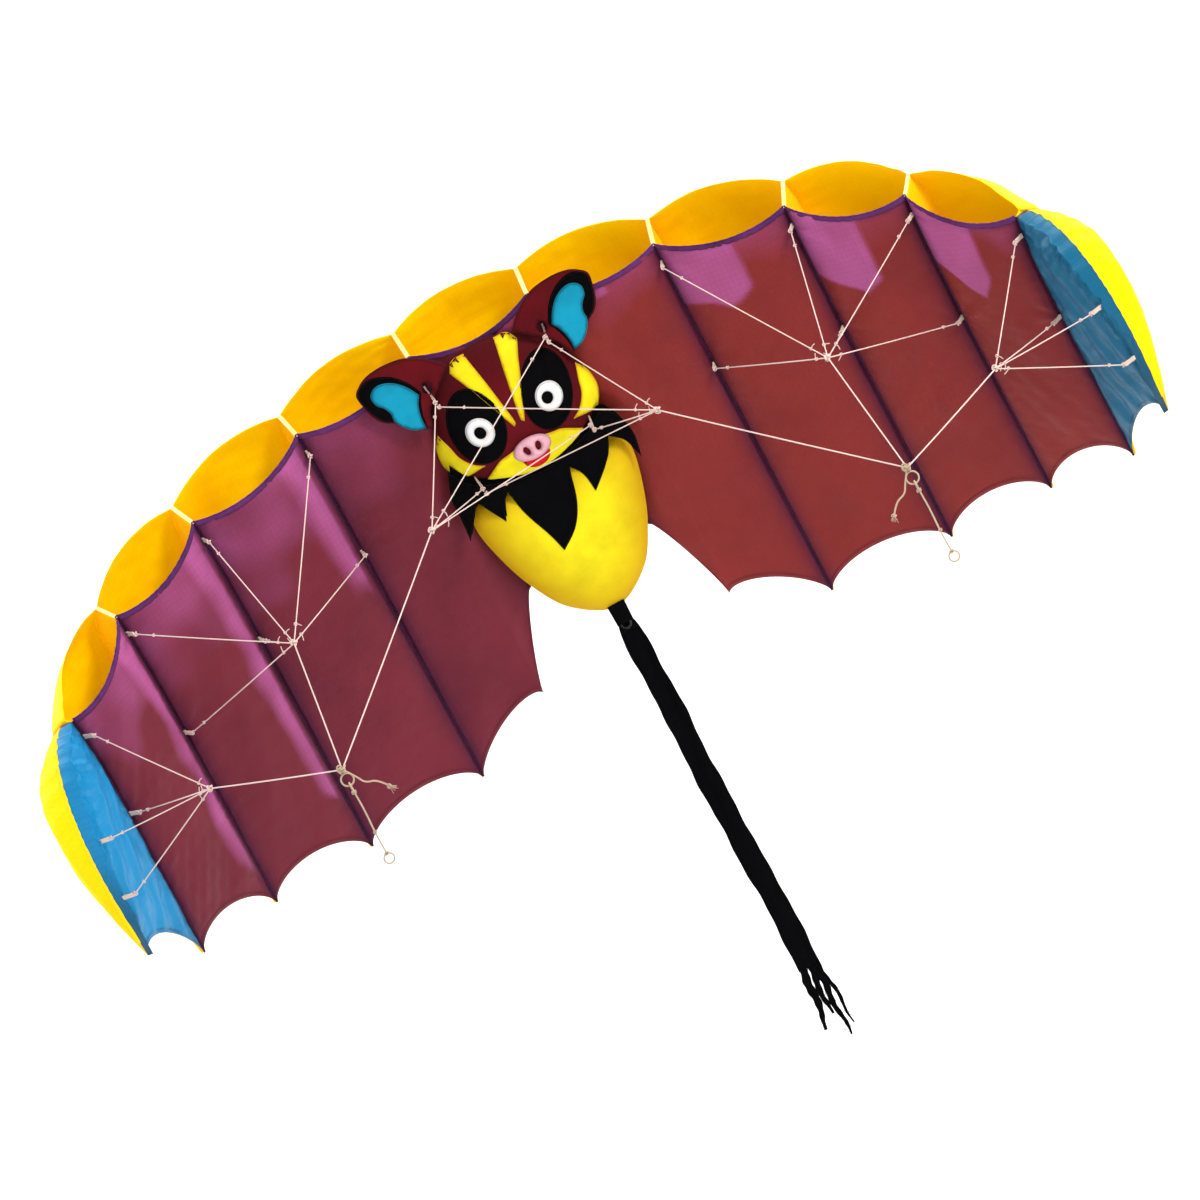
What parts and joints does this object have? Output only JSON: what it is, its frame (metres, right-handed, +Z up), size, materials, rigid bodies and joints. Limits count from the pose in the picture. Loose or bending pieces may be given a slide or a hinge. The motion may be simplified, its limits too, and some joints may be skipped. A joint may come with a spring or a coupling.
{
  "type": "parafoil kite",
  "caption": "Arched ram-air parafoil kite with open leading-edge cells, scalloped bat-wing trailing edge, a padded bat figure, branching bridle lines and a long ribbon tail.",
  "frame": {"origin": "centre of the box round the wing, figure and tail, without the bridle lines", "axes": "+X across the span to the left wing as its flyer faces it on the right, +Z up from the tail to the leading edge, -Y toward the flyer"},
  "size_m": [2.1426, 1.0713, 1.5452],
  "materials": {
    "upper_ripstop": "satin",
    "tip_ripstop": "satin",
    "lower_ripstop": "satin",
    "rib_ripstop": "satin",
    "binding_tape": "matte",
    "tab_tape": "matte",
    "bridle_line": "matte",
    "leader_line": "matte",
    "face_cloth": "matte",
    "figure_yellow": "matte",
    "figure_black": "matte",
    "ear_cloth": "matte",
    "eye_white": "matte",
    "snout_pink": "matte",
    "mouth_red": "matte",
    "tail_cord": "matte",
    "tail_cloth": "matte"
  },
  "bodies": {
    "wing": {"belly": "figure_yellow", "bridle_tabs_left": "tab_tape", "bridle_tabs_right": "tab_tape", "eye_patches": "figure_black", "eye_rings": "eye_white", "face_yellow": "figure_yellow", "head": "face_cloth", "inner_cascade_left": "bridle_line", "inner_cascade_right": "bridle_line", "intake_trim": "binding_tape", "lower_skin_cell_five_left": "lower_ripstop", "lower_skin_cell_five_right": "lower_ripstop", "lower_skin_cell_four_left": "lower_ripstop", "lower_skin_cell_four_right": "lower_ripstop", "lower_skin_cell_three_left": "lower_ripstop", "lower_skin_cell_three_right": "lower_ripstop", "lower_skin_cell_two_left": "lower_ripstop", "lower_skin_cell_two_right": "lower_ripstop", "lower_skin_centre": "lower_ripstop", "lower_skin_tip_left": "tip_ripstop", "lower_skin_tip_right": "tip_ripstop", "middle_cascade_left": "bridle_line", "middle_cascade_right": "bridle_line", "mouth": "mouth_red", "rib_fourth_left": "rib_ripstop", "rib_fourth_right": "rib_ripstop", "rib_inner_left": "rib_ripstop", "rib_inner_right": "rib_ripstop", "rib_outer_left": "rib_ripstop", "rib_outer_right": "rib_ripstop", "rib_second_left": "rib_ripstop", "rib_second_right": "rib_ripstop", "rib_third_left": "rib_ripstop", "rib_third_right": "rib_ripstop", "ruff": "figure_black", "snout": "snout_pink", "tail_loop": "tail_cord", "tip_cascade_left": "bridle_line", "tip_cascade_right": "bridle_line", "tow_harness_left": "bridle_line", "tow_harness_right": "bridle_line", "upper_skin_cell_five_left": "upper_ripstop", "upper_skin_cell_five_right": "upper_ripstop", "upper_skin_cell_four_left": "upper_ripstop", "upper_skin_cell_four_right": "upper_ripstop", "upper_skin_cell_three_left": "upper_ripstop", "upper_skin_cell_three_right": "upper_ripstop", "upper_skin_cell_two_left": "upper_ripstop", "upper_skin_cell_two_right": "upper_ripstop", "upper_skin_centre": "upper_ripstop", "upper_skin_tip_left": "upper_ripstop", "upper_skin_tip_right": "upper_ripstop"},
    "tail_ring_body": {"tail_ring": "tail_cord"},
    "tail_upper_body": {"tail_upper": "tail_cloth"},
    "tail_lower_body": {"tail_lower": "tail_cloth"},
    "fringe_body": {"tail_fringe": "tail_cloth"},
    "leader_right_body": {"leader_right": "leader_line"},
    "leader_left_body": {"leader_left": "leader_line"},
    "ear_right_body": {"ear_right": "ear_cloth"},
    "ear_left_body": {"ear_left": "ear_cloth"}
  },
  "joints": [
    {"name": "tail_fore_aft", "type": "hinge", "parent": "wing", "child": "tail_ring_body", "pos_m": [0, 0.21468, 0.10138], "axis": [1, 0, 0], "range_deg": [-50, 50]},
    {"name": "tail_sway", "type": "hinge", "parent": "tail_ring_body", "child": "tail_upper_body", "pos_m": [0, 0.21468, 0.08838], "axis": [0, 1, 0], "range_deg": [-35, 35]},
    {"name": "tail_fold", "type": "hinge", "parent": "tail_upper_body", "child": "tail_lower_body", "pos_m": [0, 0.21468, -0.26562], "axis": [1, 0, 0], "range_deg": [-40, 40]},
    {"name": "fringe_flutter", "type": "hinge", "parent": "tail_lower_body", "child": "fringe_body", "pos_m": [0, 0.21468, -0.60362], "axis": [1, 0, 0], "range_deg": [-40, 40]},
    {"name": "leader_swing_right", "type": "hinge", "parent": "wing", "child": "leader_right_body", "pos_m": [0.545, -0.76494, 0.06613], "axis": [1, 0, 0], "range_deg": [-60, 60]},
    {"name": "leader_swing_left", "type": "hinge", "parent": "wing", "child": "leader_left_body", "pos_m": [-0.545, -0.76494, 0.06613], "axis": [1, 0, 0], "range_deg": [-60, 60]},
    {"name": "ear_flap_right", "type": "hinge", "parent": "wing", "child": "ear_right_body", "pos_m": [0.11061, -0.02149, 0.6056], "axis": [0.7139, 0.2848, -0.6397], "range_deg": [-4, 30], "stiffness_Nm_per_rad": 0.08},
    {"name": "ear_flap_left", "type": "hinge", "parent": "wing", "child": "ear_left_body", "pos_m": [-0.11061, -0.02149, 0.6056], "axis": [0.7139, -0.2848, 0.6397], "range_deg": [-4, 30], "stiffness_Nm_per_rad": 0.08}
  ]
}
